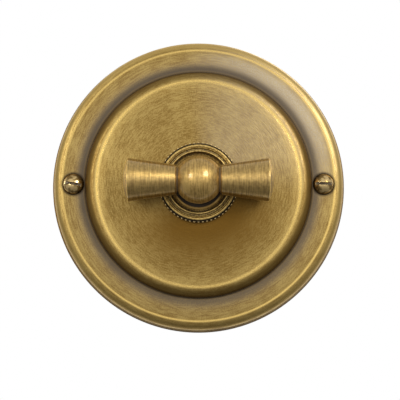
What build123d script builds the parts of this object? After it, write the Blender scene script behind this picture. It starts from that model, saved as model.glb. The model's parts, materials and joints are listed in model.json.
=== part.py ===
from build123d import *
import os
from math import cos, pi, sin, sqrt

# Round wall rotary switch in aged brass, in millimetres.
# The wall is the plane y = 0, the front looks along -y and +z is up.
# The handle's spindle lies on the y axis. A "rise" is a distance from the wall to the front.

# Cover plate, stamped from one brass sheet
plate_dia = 85.0
sheet = 1.2
flange_rise = 6.5
rim_round = 2.6
foot_lip = 0.8
foot_thick = 1.2
foot_round = 0.3
flange_band = 10.0
disc_step = 3.2
disc_round = 3.0
disc_foot_land = 0.2

# The two round-head wood screws that hold the plate to the wall
wall_screw_inset = 6.6
wall_screw_dia = 3.0
wall_screw_length = 25.0
wall_screw_point = 4.5
wall_head_dia = 6.1
wall_head_height = 2.1
wall_slot_width = 0.8
wall_slot_depth = 1.1
wall_neck_dia = 3.5
wall_neck_length = 1.8
wall_hole_clearance = 0.2

# Knurled ring nut, ring by ring from the thread outwards
thread_dia = 15.2
dish_width = 1.0
ridge_width = 0.45
valley_width = 0.6
bead_width = 1.1
moat_width = 0.25
knurl_depth = 0.4
knurl_teeth = 58
knurl_root_share = 0.18
knurl_flank_share = 0.32
knurl_tip_share = 0.18
lip_height = 1.3
ridge_height = 2.5
ridge_crown = 0.2
valley_height = 1.95
bead_crown = 0.3
moat_height = 1.15
knurl_height = 1.6
knurl_bevel = 0.3

# Handle, turned in one piece about its long axis
ball_dia = 13.3
ball_stand = 1.4
ball_edge = 5.6
groove_place = 5.85
groove_dia = 6.4
arm_start = 6.2
arm_start_dia = 8.2
arm_reach = 20.85
arm_end_dia = 12.0
end_dome = 1.3
end_bevel = 0.3
neck_wall = 1.4

# Spindle and its bearings
spindle_dia = 6.0
spindle_in_ball = 2.4
spindle_flat = 0.5
collar_width = 1.6
collar_thick = 1.0
square_across = 5.0
tail_dia = 4.0
tail_past_clip = 0.7
turning_gap = 0.05
end_play = 0.1
thrust_washer_thick = 0.45
clip_thick = 0.6
clip_groove_depth = 0.4
clip_width = 1.7
clip_opening = 3.0
tail_washer_thick = 0.5
tail_washer_width = 2.4

# Grub screw that locks the handle on the spindle
grub_dia = 3.0
grub_length = 3.1
grub_offset = 1.7
grub_socket_across = 1.5
grub_socket_depth = 1.5

# Bush, lock washer and bridge plate that carry the mechanism
neck_proud = 1.0
bush_well_gap = 0.8
bush_well_depth = 1.5
shoulder_width = 3.0
spigot_wall = 3.4
lock_washer_thick = 0.7
lock_washer_width = 3.2
lock_washer_teeth = 12
lock_washer_gap = 1.0
lock_washer_cut = 1.3
thread_clearance = 0.15
bridge_thick = 1.5
bridge_width = 15.0
bridge_gap = 0.3
bridge_overhang = 4.2
insulator_thick = 0.8
insulator_inset = 1.0
insulator_gap = 1.0

# Ceramic base
chamber_gap = 1.6
chamber_wall = 2.8
floor_gap = 0.5
floor_thick = 6.65
tail_well_depth = 4.2
tail_well_gap = 1.3
spring_recess_dia = 23.0
spring_slit_gap = 0.1
pocket_gap = 0.5
web_thick = 3.0
base_edge_round = 1.2
bridge_screw_inset = 6.0

# Contact drum with its two let-in strips
drum_dia = 16.0
drum_length = 12.0
strip_thick = 0.8
strip_width = 2.6
strip_places = (2.4, 5.9)
strip_turn = 190.0

# Detent: a square cam between two leaf springs
cam_across = 9.0
cam_corner = 2.2
cam_thick = 4.0
leaf_thick = 0.4
leaf_width = 3.4
leaf_length = 27.0
leaf_gap = 0.05

# Contact blades, one for each of the four terminals
blade_thick = 0.5
blade_width = 4.6
blade_bend = 0.6
blade_stand_off = 1.8
blade_nose_half = 1.8
blade_tip_flare = 0.8
blade_tip_place = 0.6
blade_foot_end = 2.4
contact_gap = 0.1
# The poles lie on the diagonals, clear of the two bridge screws.
pole_angles = (45.0, 135.0, 225.0, 315.0)

# Terminal blocks and the small machine screws
block_width = 8.0
block_height = 7.0
block_proud = 0.5
block_gap = 0.15
block_bevel = 0.4
block_inner_wall = 1.9
block_outer_wall = 2.6
wire_bore_dia = 3.2
wire_bore_depth = 5.8
wire_to_screw = 4.0
screw_dia = 3.0
screw_clearance = 0.15
screw_head_dia = 5.4
screw_head_height = 1.8
screw_head_bevel = 0.3
screw_slot_width = 0.8
screw_slot_depth = 0.9
fixing_screw_in_block = 4.2
clamp_head_dia = 5.0
clamp_head_height = 1.6
clamp_head_gap = 0.8
bridge_well_depth = 2.6
bridge_well_gap = 0.5

# Places worked out from the sizes above, along the spindle
flange_y = -flange_rise
disc_y = flange_y - disc_step
sheet_back_y = disc_y + sheet
shoulder_y = sheet_back_y + lock_washer_thick
bridge_y = flange_y + sheet + bridge_gap
insulator_y = bridge_y + bridge_thick
base_y = insulator_y + insulator_thick
collar_y = insulator_y + end_play / 2 + thrust_washer_thick
cam_y = collar_y + collar_thick
drum_y = cam_y + cam_thick
floor_y = drum_y + drum_length + floor_gap
base_back_y = floor_y + floor_thick
tail_well_y = base_back_y - tail_well_depth
clip_y = tail_well_y + end_play + tail_washer_thick
spindle_back_y = clip_y + clip_thick + tail_past_clip
neck_front_y = disc_y - neck_proud
well_y = neck_front_y + bush_well_depth
block_y = base_back_y + block_proud - block_height
foot_y = block_y - web_thick
handle_y = disc_y - ball_stand - ball_dia / 2

# Places worked out from the sizes above, out from the spindle
plate_r = plate_dia / 2
wall_r = plate_r - foot_lip
flange_edge_r = wall_r - rim_round
disc_foot_r = plate_r - flange_band
disc_bend = min(disc_round, disc_step - disc_foot_land)
disc_edge_r = disc_foot_r - disc_bend
wall_screw_r = plate_r - wall_screw_inset
thread_r = thread_dia / 2
spindle_r = spindle_dia / 2
neck_r = spindle_r + neck_wall
bush_well_r = neck_r + bush_well_gap
shoulder_r = thread_r + shoulder_width
spigot_r = spindle_r + turning_gap + spigot_wall
collar_r = spindle_r + collar_width
drum_r = drum_dia / 2
chamber_r = drum_r + chamber_gap
nose_r = drum_r + contact_gap
upright_r = nose_r + blade_stand_off
block_inner_r = chamber_r + chamber_wall
fixing_r = block_inner_r + block_inner_wall
wire_r = fixing_r + wire_to_screw
block_outer_r = wire_r + wire_bore_dia / 2 + block_outer_wall
base_r = block_outer_r + clamp_head_gap + clamp_head_height
bridge_screw_r = base_r - bridge_screw_inset
tail_r = tail_dia / 2
pole_levels = [drum_y + strip_places[pole % len(strip_places)] for pole in range(len(pole_angles))]


def rod(radius, y_from, y_to):
    """A round bar along the spindle's axis."""
    return Pos(0, (y_from + y_to) / 2, 0) * Rot(90, 0, 0) * Cylinder(radius, y_to - y_from)


def tube(outer, inner, y_from, y_to):
    return rod(outer, y_from, y_to) - rod(inner, y_from, y_to)


def slab(x_span, y_span, z_span):
    """A box between two places on each axis."""
    size = [high - low for low, high in (x_span, y_span, z_span)]
    middle = [(high + low) / 2 for low, high in (x_span, y_span, z_span)]
    return Pos(*middle) * Box(*size)


def turned(edges):
    """A turned piece: its half section, radius by depth, swept round the spindle's axis."""
    return revolve(make_face(edges), axis=Axis.Y)


def at_pole(angle, shape):
    """Carries a piece that was drawn along +x round the spindle to its pole."""
    return Rot(0, angle, 0) * shape


def cheese_screw(head_dia, head_height, length):
    """A slotted machine screw: its head's seat at y = 0, its shank along +y."""
    head = Rot(90, 0, 0) * Cylinder(head_dia / 2, head_height)
    head = chamfer(head.edges().group_by(Axis.Y)[0], screw_head_bevel)
    head = Pos(0, -head_height / 2, 0) * head
    slot = slab((-head_dia, head_dia), (-head_height, screw_slot_depth - head_height),
                (-screw_slot_width / 2, screw_slot_width / 2))
    return head - slot + rod(screw_dia / 2, 0, length)


def cover_plate():
    """The stamped plate: foot lip, rim, flange and raised disc are one sheet."""
    hole_r = thread_r + thread_clearance
    rim_centre = (flange_edge_r, flange_y + rim_round)
    foot_centre = (plate_r - foot_round, foot_round - foot_thick)
    disc_centre = (disc_edge_r, disc_y + disc_bend)
    fold_r = disc_foot_r - sheet
    front = [
        Line((hole_r, disc_y), (disc_edge_r, disc_y)),
        CenterArc(disc_centre, disc_bend, 270, 90),
        Line((disc_foot_r, disc_centre[1]), (disc_foot_r, flange_y)),
        Line((disc_foot_r, flange_y), (flange_edge_r, flange_y)),
        CenterArc(rim_centre, rim_round, 270, 90),
        Line((wall_r, rim_centre[1]), (wall_r, -foot_thick)),
        Line((wall_r, -foot_thick), (foot_centre[0], -foot_thick)),
        CenterArc(foot_centre, foot_round, 270, 90),
        Line((plate_r, foot_centre[1]), (plate_r, 0)),
    ]
    back = [
        Line((plate_r, 0), (wall_r - sheet, 0)),
        Line((wall_r - sheet, 0), (wall_r - sheet, rim_centre[1])),
        CenterArc(rim_centre, rim_round - sheet, 270, 90),
        Line((flange_edge_r, flange_y + sheet), (fold_r, flange_y + sheet)),
        Line((fold_r, flange_y + sheet), (fold_r, disc_centre[1])),
        CenterArc(disc_centre, disc_bend - sheet, 270, 90),
        Line((disc_edge_r, sheet_back_y), (hole_r, sheet_back_y)),
        Line((hole_r, sheet_back_y), (hole_r, disc_y)),
    ]
    plate = turned(front + back)
    hole = rod(wall_neck_dia / 2 + wall_hole_clearance, flange_y - sheet, flange_y + 2 * sheet)
    return plate - Pos(wall_screw_r, 0, 0) * hole - Pos(-wall_screw_r, 0, 0) * hole


def wall_screw():
    """A round-head wood screw: its head's seat at y = 0, a thicker neck, its point along +y."""
    taper_y = wall_screw_length - wall_screw_point
    shank_r = wall_screw_dia / 2
    screw_neck_r = wall_neck_dia / 2
    head_r = wall_head_dia / 2
    section = [
        TangentArc((0, -wall_head_height), (head_r, 0), tangent=(1, 0)),
        Line((head_r, 0), (screw_neck_r, 0)),
        Line((screw_neck_r, 0), (screw_neck_r, wall_neck_length)),
        Line((screw_neck_r, wall_neck_length), (shank_r, wall_neck_length)),
        Line((shank_r, wall_neck_length), (shank_r, taper_y)),
        Line((shank_r, taper_y), (0, wall_screw_length)),
        Line((0, wall_screw_length), (0, -wall_head_height)),
    ]
    slot = slab((-head_r, head_r), (-wall_head_height, wall_slot_depth - wall_head_height),
                (-wall_slot_width / 2, wall_slot_width / 2))
    return turned(section) - slot


def plate_screws():
    screw = Pos(0, flange_y, 0) * wall_screw()
    return [Pos(side * wall_screw_r, 0, 0) * screw for side in (-1, 1)]


def knurled_rim(root_r):
    """The nut's edge: straight pointed teeth round a ring, bevelled in front."""
    step = 2 * pi / knurl_teeth
    tip_start = knurl_root_share + knurl_flank_share
    # Each tooth has a flat root and a narrow flat tip: share of its pitch, height.
    corners = [(0, 0), (knurl_root_share, 0),
               (tip_start, knurl_depth), (tip_start + knurl_tip_share, knurl_depth)]
    points = []
    for tooth in range(knurl_teeth):
        for share, height in corners:
            angle = (tooth + share) * step
            points.append(((root_r + height) * cos(angle), (root_r + height) * sin(angle)))
    star = extrude(make_face(Polyline(*points, close=True)), amount=knurl_height)
    star = Pos(0, disc_y, 0) * Rot(90, 0, 0) * star
    tip_r = root_r + knurl_depth
    front_y = disc_y - knurl_height
    envelope = turned([
        Line((root_r - moat_width, disc_y), (tip_r, disc_y)),
        Line((tip_r, disc_y), (tip_r, front_y + knurl_bevel)),
        Line((tip_r, front_y + knurl_bevel), (tip_r - knurl_bevel, front_y)),
        Line((tip_r - knurl_bevel, front_y), (root_r, front_y)),
        Line((root_r, front_y), (root_r - moat_width, disc_y - moat_height)),
        Line((root_r - moat_width, disc_y - moat_height), (root_r - moat_width, disc_y)),
    ])
    return star & envelope


def ring_nut():
    """The ring nut: dished mouth, bright ridge, half-round bead and knurled rim."""
    ridge_r = thread_r + dish_width
    valley_r = ridge_r + ridge_width
    bead_r = valley_r + valley_width
    moat_r = bead_r + bead_width
    lip = (thread_r, disc_y - lip_height)
    ridge_in = (ridge_r, disc_y - ridge_height + ridge_crown)
    ridge_top = (ridge_r + ridge_width / 2, disc_y - ridge_height)
    ridge_out = (valley_r, disc_y - ridge_height + ridge_crown)
    bead_in = (bead_r, disc_y - valley_height)
    bead_top = (bead_r + bead_width / 2, disc_y - valley_height - bead_crown)
    bead_out = (moat_r, disc_y - valley_height)
    core = turned([
        Line((thread_r, disc_y), lip),
        TangentArc(ridge_in, lip, tangent=(0, 1)),
        ThreePointArc(ridge_in, ridge_top, ridge_out),
        Line(ridge_out, bead_in),
        ThreePointArc(bead_in, bead_top, bead_out),
        Line(bead_out, (moat_r, disc_y)),
        Line((moat_r, disc_y), (thread_r, disc_y)),
    ])
    return core + knurled_rim(moat_r + moat_width)


def handle_half():
    """Half of the turned bar, along +x: half ball, V groove, flared arm and domed end."""
    ball_r = ball_dia / 2
    ball_edge_r = sqrt(ball_r ** 2 - ball_edge ** 2)
    on_ball = (ball_edge / 2, sqrt(ball_r ** 2 - (ball_edge / 2) ** 2))
    edge_x = arm_reach - end_dome
    end_r = arm_end_dia / 2
    edges = [
        Line((0, 0), (0, ball_r)),
        ThreePointArc((0, ball_r), on_ball, (ball_edge, ball_edge_r)),
        Line((ball_edge, ball_edge_r), (groove_place, groove_dia / 2)),
        Line((groove_place, groove_dia / 2), (arm_start, arm_start_dia / 2)),
        Line((arm_start, arm_start_dia / 2), (edge_x - end_bevel, end_r)),
        Line((edge_x - end_bevel, end_r), (edge_x, end_r - end_bevel)),
        TangentArc((arm_reach, 0), (edge_x, end_r - end_bevel), tangent=(0, 1)),
        Line((arm_reach, 0), (0, 0)),
    ]
    return revolve(make_face(edges), axis=Axis.X)


def handle():
    """The whole handle, with its neck, its blind spindle hole and the grub screw's hole."""
    half = handle_half()
    bar = Pos(0, handle_y, 0) * (half + mirror(half, about=Plane.YZ))
    bar += rod(neck_r, handle_y, well_y - bush_well_gap / 2)
    bar -= rod(spindle_r, handle_y - spindle_in_ball, well_y)
    grub_hole = Pos(0, handle_y + grub_offset, ball_dia / 2) * Cylinder(grub_dia / 2, ball_dia)
    return bar - grub_hole


def grub_screw():
    """Bears on the spindle's flat from above, where the front view does not show it."""
    foot_z = spindle_r - spindle_flat
    body = Pos(0, 0, grub_length / 2) * Cylinder(grub_dia / 2, grub_length)
    socket = extrude(RegularPolygon(grub_socket_across / 2, 6, major_radius=False),
                     amount=grub_socket_depth)
    socket = Pos(0, 0, grub_length - grub_socket_depth) * socket
    return Pos(0, handle_y + grub_offset, foot_z) * (body - socket)


def spindle():
    """Turned steel: round journal with a flat, collar, square drive and thin tail."""
    front_y = handle_y - spindle_in_ball
    square_end_y = drum_y + drum_length
    bar = rod(spindle_r, front_y, collar_y)
    flat = slab((-spindle_r, spindle_r), (front_y, handle_y + grub_offset + grub_dia),
                (spindle_r - spindle_flat, spindle_r))
    drive = slab((-square_across / 2, square_across / 2), (cam_y, square_end_y),
                 (-square_across / 2, square_across / 2))
    groove = tube(tail_r, tail_r - clip_groove_depth, clip_y, clip_y + clip_thick)
    bar = bar - flat + rod(collar_r, collar_y, cam_y) + drive
    return bar + rod(tail_r, square_end_y, spindle_back_y) - groove


def thrust_washer():
    return tube(collar_r, spindle_r, insulator_y + end_play / 2, collar_y)


def tail_washer():
    return tube(tail_r + tail_washer_width, tail_r, tail_well_y + end_play, clip_y)


def retaining_clip():
    """The open spring clip in the groove near the spindle's back end."""
    inner = tail_r - clip_groove_depth
    ring = tube(inner + clip_width, inner, clip_y, clip_y + clip_thick)
    mouth = slab((-clip_opening / 2, clip_opening / 2), (clip_y, clip_y + clip_thick),
                 (-inner - clip_width, 0))
    return ring - mouth


def square_hole(y_from, y_to):
    half = square_across / 2
    return slab((-half, half), (y_from, y_to), (-half, half))


def detent_cam():
    """The square cam whose flats rest on the leaf springs at each quarter turn."""
    outline = RectangleRounded(cam_across, cam_across, cam_corner)
    cam = Pos(0, drum_y, 0) * Rot(90, 0, 0) * extrude(outline, amount=cam_thick)
    return cam - square_hole(cam_y, drum_y)


def leaf_spring(side):
    inner = cam_across / 2 + leaf_gap
    middle_y = cam_y + cam_thick / 2
    leaf = slab((-leaf_length / 2, leaf_length / 2),
                (middle_y - leaf_width / 2, middle_y + leaf_width / 2),
                (inner, inner + leaf_thick))
    return leaf if side > 0 else mirror(leaf, about=Plane.XY)


def strip(level, start_angle):
    """A brass half ring let into the drum, flush with its skin."""
    low_y = drum_y + level - strip_width / 2
    section = Pos(drum_r - strip_thick / 2, low_y + strip_width / 2) * Rectangle(strip_thick, strip_width)
    ring = revolve(section, axis=Axis.Y, revolution_arc=strip_turn)
    return Rot(0, start_angle - (strip_turn - 180) / 2, 0) * ring


def contact_strips():
    return [strip(level, pole_angles[pole]) for pole, level in enumerate(strip_places)]


def contact_drum():
    """The moulded drum, with a square hole and a let-in seat for each strip."""
    drum = rod(drum_r, drum_y, drum_y + drum_length)
    for seat in contact_strips():
        drum -= seat
    return drum - square_hole(drum_y, drum_y + drum_length)


def threaded_bush():
    """Neck through the plate, shoulder behind it and a spigot swaged in the bridge plate."""
    bush = rod(thread_r, neck_front_y, shoulder_y)
    bush += rod(shoulder_r, shoulder_y, bridge_y)
    bush += rod(spigot_r, bridge_y, insulator_y)
    bush -= rod(spindle_r + turning_gap, neck_front_y, insulator_y)
    return bush - rod(bush_well_r, neck_front_y, well_y)


def lock_washer():
    """Toothed washer between the plate's back and the bush's shoulder."""
    outer = thread_r + thread_clearance + lock_washer_width
    washer = tube(outer, thread_r + thread_clearance, sheet_back_y, shoulder_y)
    cut = slab((outer - lock_washer_cut, outer + lock_washer_cut), (sheet_back_y, shoulder_y),
               (-lock_washer_gap / 2, lock_washer_gap / 2))
    for tooth in range(lock_washer_teeth):
        washer -= Rot(0, tooth * 360 / lock_washer_teeth, 0) * cut
    return washer


def bridge_plate():
    """The steel bar across the base, with the bush in its middle and a tapped hole at each end."""
    length = 2 * (bridge_screw_r + bridge_overhang)
    outline = SlotOverall(length, bridge_width)
    plate = Pos(0, insulator_y, 0) * Rot(90, 0, 0) * extrude(outline, amount=bridge_thick)
    plate -= rod(spigot_r, bridge_y, insulator_y)
    for side in (-1, 1):
        plate -= Pos(side * bridge_screw_r, 0, 0) * rod(screw_dia / 2, bridge_y, insulator_y)
    return plate


def insulating_disc():
    """The fibre disc that keeps the live blades from the metal bridge and plate."""
    disc = tube(base_r - insulator_inset, collar_r + insulator_gap, insulator_y, base_y)
    hole = rod(screw_dia / 2 + screw_clearance, insulator_y, base_y)
    for side in (-1, 1):
        disc -= Pos(side * bridge_screw_r, 0, 0) * hole
    return disc


def base_body():
    """The ceramic body before its pole pockets: chamber, spring recess and bearing floor."""
    outline = [
        Line((0, base_y), (base_r, base_y)),
        Line((base_r, base_y), (base_r, base_back_y - base_edge_round)),
        Line((base_r, base_back_y - base_edge_round), (base_r - base_edge_round, base_back_y)),
        Line((base_r - base_edge_round, base_back_y), (0, base_back_y)),
        Line((0, base_back_y), (0, base_y)),
    ]
    body = turned(outline)
    body -= rod(spring_recess_dia / 2, base_y, drum_y)
    body -= rod(chamber_r, drum_y, floor_y)
    body -= rod(tail_r + turning_gap, floor_y, base_back_y)
    return body - rod(tail_r + tail_washer_width + tail_well_gap, tail_well_y, base_back_y)


def pole_pockets():
    """What is cut out for one pole: blade pocket in front, terminal notch behind, screw hole."""
    blade_half = blade_width / 2 + pocket_gap
    block_half = block_width / 2 + block_gap
    blade_end_r = fixing_r + blade_foot_end + screw_dia / 2 + pocket_gap
    front = slab((0, blade_end_r), (base_y, foot_y), (-blade_half, blade_half))
    back = slab((block_inner_r - block_gap, base_r + block_gap), (block_y, base_back_y),
                (-block_half, block_half))
    hole = Pos(fixing_r, 0, 0) * rod(screw_dia / 2 + screw_clearance, foot_y, block_y)
    return front + back + hole


def spring_slits():
    """Four slits that hold the ends of the two leaf springs."""
    inner = cam_across / 2 + leaf_gap - spring_slit_gap
    outer = inner + leaf_thick + 2 * spring_slit_gap
    reach = leaf_length / 2 + spring_slit_gap
    slit = slab((-reach, reach), (base_y, drum_y), (inner, outer))
    return slit + mirror(slit, about=Plane.XY)


def ceramic_base():
    base = base_body() - spring_slits()
    for angle in pole_angles:
        base -= at_pole(angle, pole_pockets())
    well_r = screw_head_dia / 2 + bridge_well_gap
    for side in (-1, 1):
        base -= Pos(side * bridge_screw_r, 0, 0) * (
            rod(screw_dia / 2 + screw_clearance, base_y, base_back_y)
            + rod(well_r, base_back_y - bridge_well_depth, base_back_y))
    return base


def bridge_screws():
    """Long screws from the back, through the ceramic into the bridge plate."""
    seat_y = base_back_y - bridge_well_depth
    screw = Pos(0, seat_y, 0) * Rot(180, 0, 0) * cheese_screw(
        screw_head_dia, screw_head_height, seat_y - bridge_y)
    return [Pos(side * bridge_screw_r, 0, 0) * screw for side in (-1, 1)]


def terminal_block():
    """Brass block with a wire bore from behind, a clamp screw hole and a fixing hole."""
    block = slab((block_inner_r, block_outer_r), (block_y, block_y + block_height),
                 (-block_width / 2, block_width / 2))
    block = chamfer(block.edges().group_by(Axis.Y)[-1], block_bevel)
    back_y = block_y + block_height
    block -= Pos(wire_r, 0, 0) * rod(wire_bore_dia / 2, back_y - wire_bore_depth, back_y)
    block -= Pos(fixing_r, 0, 0) * rod(screw_dia / 2, block_y, block_y + fixing_screw_in_block)
    clamp = Pos((wire_r + block_outer_r) / 2, clamp_y(), 0) * Rot(0, 90, 0) * Cylinder(
        screw_dia / 2, block_outer_r - wire_r)
    return block - clamp


def clamp_y():
    """The clamp screws' depth: the middle of the wire bore."""
    return block_y + block_height - wire_bore_depth / 2


def clamp_screw():
    """Backed off, so that its tip stands just clear of the wire bore."""
    tip_r = wire_r + wire_bore_dia / 2
    seat_r = block_outer_r + clamp_head_gap
    screw = cheese_screw(clamp_head_dia, clamp_head_height, seat_r - tip_r)
    return Pos(seat_r, clamp_y(), 0) * Rot(0, 0, 90) * screw


def fixing_screw():
    """Holds the blade's foot and the terminal block on both sides of the ceramic web."""
    head_y = foot_y - blade_thick
    length = blade_thick + web_thick + fixing_screw_in_block
    return Pos(fixing_r, head_y, 0) * cheese_screw(screw_head_dia, screw_head_height, length)


def contact_blade(level):
    """Bronze strip: foot under the screw, upright spring and a nose on the drum."""
    centre_y = foot_y - blade_thick / 2
    nose = nose_r + blade_thick / 2
    stand = upright_r + blade_thick / 2
    tip_y = drum_y - blade_tip_place
    path = FilletPolyline(
        (fixing_r + blade_foot_end, centre_y, 0),
        (stand, centre_y, 0),
        (stand, level + blade_nose_half, 0),
        (nose, level, 0),
        (stand, level - blade_nose_half, 0),
        (stand, tip_y, 0),
        (stand + blade_tip_flare, tip_y - blade_tip_flare, 0),
        radius=blade_bend)
    start = Plane(origin=path @ 0, x_dir=(0, 0, 1), z_dir=path % 0)
    blade = sweep(start * Rectangle(blade_width, blade_thick), path=path)
    hole = rod(screw_dia / 2 + screw_clearance, foot_y - blade_thick, foot_y)
    return blade - Pos(fixing_r, 0, 0) * hole


def group(solids):
    """Separate solids that share one node."""
    return Compound(children=list(solids))


def all_parts():
    strips = contact_strips()
    parts = {
        "cover_plate": cover_plate(),
        "plate_screws": group(plate_screws()),
        "ring_nut": ring_nut(),
        "lock_washer": lock_washer(),
        "threaded_bush": threaded_bush(),
        "bridge_plate": bridge_plate(),
        "insulating_disc": insulating_disc(),
        "ceramic_base": ceramic_base(),
        "bridge_screws": group(bridge_screws()),
        "clamp_screws": group(at_pole(angle, clamp_screw()) for angle in pole_angles),
        "fixing_screws": group(at_pole(angle, fixing_screw()) for angle in pole_angles),
        "detent_leaf_upper": leaf_spring(1),
        "detent_leaf_lower": leaf_spring(-1),
        "handle": handle(),
        "grub_screw": grub_screw(),
        "spindle": spindle(),
        "thrust_washer": thrust_washer(),
        "detent_cam": detent_cam(),
        "contact_drum": contact_drum(),
        "drum_strip_front": strips[0],
        "drum_strip_rear": strips[1],
        "tail_washer": tail_washer(),
        "retaining_clip": retaining_clip(),
    }
    for number, angle in enumerate(pole_angles, start=1):
        level = pole_levels[number - 1]
        parts[f"terminal_block_{number}"] = at_pole(angle, terminal_block())
        parts[f"contact_blade_{number}"] = at_pole(angle, contact_blade(level))
    return parts


os.makedirs("parts", exist_ok=True)
for name, shape in all_parts().items():
    export_step(shape, f"parts/{name}.step")
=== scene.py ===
# %% [markdown]
# # A round wall rotary switch in aged brass
# The frame is the imported CAD model: every solid of the switch, at its real size and place.
# This lesson dresses it. The four brass pieces that the eye meets first, of which the pair
# of wall screws is one, get finer meshes of their own. All the others keep their CAD shape
# and get a finish.
# We read sizes from the boxes of the untouched CAD nodes.

import json
from math import atan2, ceil, cos, degrees, pi, radians, sin, sqrt

import bmesh
import bpy
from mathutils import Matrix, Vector


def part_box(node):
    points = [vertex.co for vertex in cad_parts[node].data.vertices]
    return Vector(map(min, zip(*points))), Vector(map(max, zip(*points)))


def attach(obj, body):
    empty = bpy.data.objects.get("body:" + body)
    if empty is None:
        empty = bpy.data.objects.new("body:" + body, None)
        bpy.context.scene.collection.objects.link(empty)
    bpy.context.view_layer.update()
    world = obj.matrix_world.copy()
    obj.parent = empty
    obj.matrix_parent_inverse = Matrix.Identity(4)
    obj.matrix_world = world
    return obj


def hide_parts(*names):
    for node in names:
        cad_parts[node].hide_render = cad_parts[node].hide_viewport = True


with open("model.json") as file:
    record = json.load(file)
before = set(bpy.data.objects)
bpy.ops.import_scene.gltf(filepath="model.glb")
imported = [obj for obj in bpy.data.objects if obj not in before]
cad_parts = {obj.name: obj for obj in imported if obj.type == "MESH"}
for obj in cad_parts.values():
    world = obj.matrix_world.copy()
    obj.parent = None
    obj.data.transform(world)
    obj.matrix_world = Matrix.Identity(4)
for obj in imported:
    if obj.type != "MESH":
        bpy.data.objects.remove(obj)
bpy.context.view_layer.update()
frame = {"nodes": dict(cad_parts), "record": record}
nodes = frame["nodes"]

# %% [markdown]
# ## Sizes
# The frame already knows most sizes. The wall is the plane y = 0, the front looks along -Y
# and the spindle lies on the Y axis, so a radius is a distance from that axis. We read what
# we can from the boxes of the CAD nodes and work in millimetres, as a maker would, and turn
# to metres only when vertices are made. What a box can't tell, such as a bend's radius, is
# a named value next to the piece that needs it.

# %% Sizes from the frame
MM = 0.001


def low(node):
    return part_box(node)[0] / MM


def high(node):
    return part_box(node)[1] / MM


plate_r = high("cover_plate").x
disc_y = low("cover_plate").y
nut_r = high("ring_nut").x
handle_reach = high("handle").x
handle_y = low("handle").y + high("handle").z
ball_r = high("handle").z
screw_place = high("plate_screws").x - (high("plate_screws").z - low("plate_screws").z) / 2
print("plate radius %.2f, disc front %.2f, nut radius %.2f" % (plate_r, disc_y, nut_r))
print("handle reach %.2f, its axis at y %.2f, ball radius %.2f" % (handle_reach, handle_y, ball_r))

# %% [markdown]
# ## Round pieces
# The real nut, handle and screws are turned on a lathe, and the plate is stamped but just as
# round. A lathe sweeps one outline round an axis, and so do we: an outline is a closed list
# of (radius, place along the axis), and the helper turns it in small steps.
# Blender's Screw modifier sweeps outlines too, but our own loop can let the radius wave on
# its way round, which a knurled nut needs. A point on the axis becomes one vertex, so that
# no thin faces pile up there. Round corners come from an arc of points. The mesh is shaded
# smooth and only edges that are truly sharp stay sharp.

# %% Round corners and clean meshes
SHARP_ANGLE = radians(32)


def arc(centre, radius, start, end, steps):
    """Points of a round corner, from one angle to another, in degrees."""
    return [(centre[0] + radius * cos(radians(start + (end - start) * k / steps)),
             centre[1] + radius * sin(radians(start + (end - start) * k / steps)))
            for k in range(steps + 1)]


def finish_mesh(name, builder):
    """Makes an object of a bmesh, with clean normals and sharp edges only where they are sharp."""
    bmesh.ops.remove_doubles(builder, verts=builder.verts, dist=0.001 * MM)
    bmesh.ops.recalc_face_normals(builder, faces=builder.faces)
    mesh = bpy.data.meshes.new(name)
    builder.to_mesh(mesh)
    builder.free()
    piece = bpy.data.objects.new(name, mesh)
    bpy.context.scene.collection.objects.link(piece)
    shade(piece)
    return piece


def shade(piece):
    piece.data.shade_smooth()
    piece.data.set_sharp_from_angle(angle=SHARP_ANGLE)


print("edges over %.0f degrees stay sharp" % degrees(SHARP_ANGLE))

# %% The lathe
def on_spindle(radius, along, angle):
    return Vector((radius * cos(angle), along, radius * sin(angle))) * MM


def turn(name, outline, steps, place=on_spindle, profile=None):
    """Sweeps a closed outline; profile(radius, angle) may wave the radius on its way round."""
    builder = bmesh.new()
    rings = []
    for radius, along in outline:
        if radius < MM:
            rings.append([builder.verts.new(place(0, along, 0))])
            continue
        ring = []
        for k in range(steps):
            angle = 2 * pi * k / steps
            waved = profile(radius, angle) if profile else radius
            ring.append(builder.verts.new(place(waved, along, angle)))
        rings.append(ring)
    for one, two in zip(rings, rings[1:] + rings[:1]):
        for k in range(steps):
            corners = [one[k % len(one)], one[(k + 1) % len(one)],
                       two[(k + 1) % len(two)], two[k % len(two)]]
            corners = list(dict.fromkeys(corners))
            if len(corners) > 2:
                builder.faces.new(corners)
    return finish_mesh(name, builder)


print("the lathe is ready")

# %% Cutting, and standing in for a CAD piece
def carve(piece, tool, operation="DIFFERENCE"):
    """Cuts one piece with another, or joins them, and throws the tool away."""
    step = piece.modifiers.new("carve", "BOOLEAN")
    step.operation, step.object, step.solver = operation, tool, "EXACT"
    with bpy.context.temp_override(object=piece, active_object=piece):
        bpy.ops.object.modifier_apply(modifier=step.name)
    bpy.data.objects.remove(tool)
    shade(piece)
    return piece


def stand_for(piece, node, body):
    """The piece rides on its body and stands in for the CAD node, which is hidden."""
    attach(piece, body)
    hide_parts(node)
    print(piece.name, "has", len(piece.data.polygons), "faces")
    return piece


print("cutting and standing in are ready")

# %% [markdown]
# ## The cover plate
# The plate is one stamped brass sheet: a thin lip on the wall, a deep rounded rim, a flat
# flange and a raised disc with a rounded edge. Discs stacked on each other would look alike
# from the front, but the switch is also seen from behind, where the sheet is hollow. So the
# outline is the front line out to the wall and the back line home again. The bends get many
# points, because a metal edge shows every facet in its highlight. The screw holes are
# drilled with a Boolean.

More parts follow.
